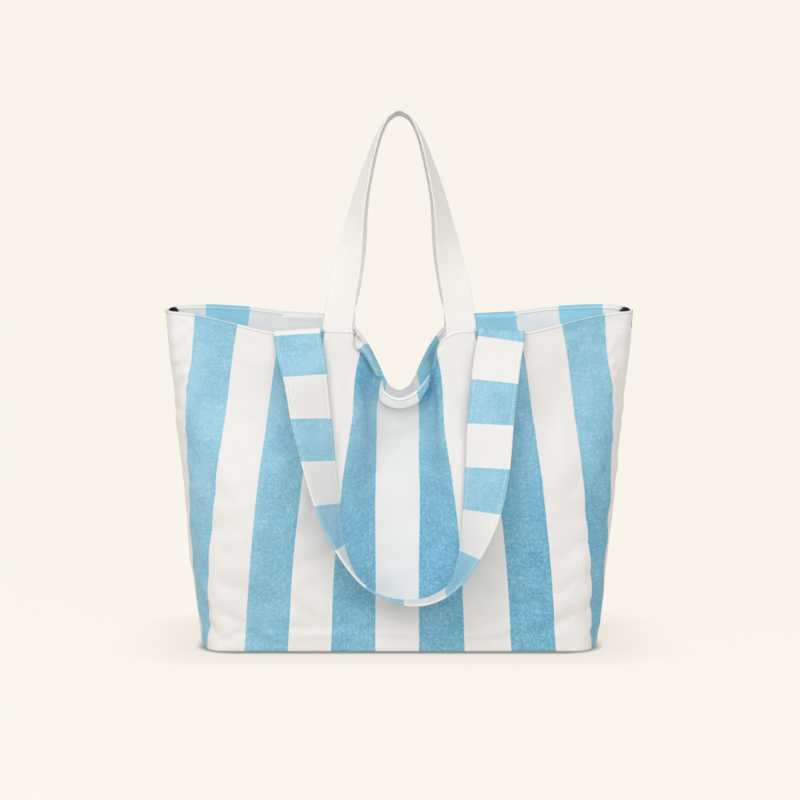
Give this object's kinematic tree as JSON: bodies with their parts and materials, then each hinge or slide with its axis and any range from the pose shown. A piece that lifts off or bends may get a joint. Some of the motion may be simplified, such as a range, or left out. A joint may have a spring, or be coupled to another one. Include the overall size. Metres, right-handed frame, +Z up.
{
  "type": "canvas weekender bag",
  "caption": "Open-topped boxed tote in striped canvas, with webbing carrying handles over a dipped rim, long folded shoulder straps and press studs at the top corners.",
  "frame": {"origin": "middle of the footprint's bounding box, on the surface the bag stands on", "axes": "+Z up, the front panel faces -Y, +X towards the viewer's right when the front is looked at"},
  "size_m": [0.6002, 0.3226, 0.6745],
  "materials": {
    "striped_canvas": "washed canvas with wide woven stripes",
    "webbing": "twill cotton webbing",
    "binding_tape": "cotton tape",
    "base_board": "matt board",
    "black_metal": "black enamel"
  },
  "bodies": {
    "bag": {"front_panel": "striped_canvas", "front_facing": "striped_canvas", "front_base_tape": "binding_tape", "front_handle_left_end": "webbing", "front_strap_left_end": "striped_canvas", "front_handle_right_end": "webbing", "front_strap_right_end": "striped_canvas", "back_panel": "striped_canvas", "back_facing": "striped_canvas", "back_base_tape": "binding_tape", "back_handle_left_end": "webbing", "back_strap_left_end": "striped_canvas", "back_handle_right_end": "webbing", "back_strap_right_end": "striped_canvas", "left_seam_tape": "binding_tape", "left_snap_socket": "black_metal", "left_snap_stud": "black_metal", "right_seam_tape": "binding_tape", "right_snap_socket": "black_metal", "right_snap_stud": "black_metal", "base_panel": "striped_canvas", "base_board": "base_board"},
    "front_handle_loop": {"front_handle": "webbing"},
    "back_handle_loop": {"back_handle": "webbing"},
    "front_strap_loop": {"front_shoulder_strap": "striped_canvas"},
    "back_strap_loop": {"back_shoulder_strap": "striped_canvas"}
  },
  "joints": [
    {"name": "front_handle_swing", "type": "hinge", "parent": "bag", "child": "front_handle_loop", "pos_m": [0, -0.0605, 0.4005], "axis": [1, 0, 0], "range_deg": [0, 140]},
    {"name": "back_handle_swing", "type": "hinge", "parent": "bag", "child": "back_handle_loop", "pos_m": [0, 0.0605, 0.4205], "axis": [-1, 0, 0], "range_deg": [0, 140]},
    {"name": "front_strap_swing", "type": "hinge", "parent": "bag", "child": "front_strap_loop", "pos_m": [0, -0.0625, 0.403], "axis": [-1, 0, 0], "range_deg": [0, 160]},
    {"name": "back_strap_swing", "type": "hinge", "parent": "bag", "child": "back_strap_loop", "pos_m": [0, 0.0625, 0.423], "axis": [1, 0, 0], "range_deg": [0, 160]}
  ]
}
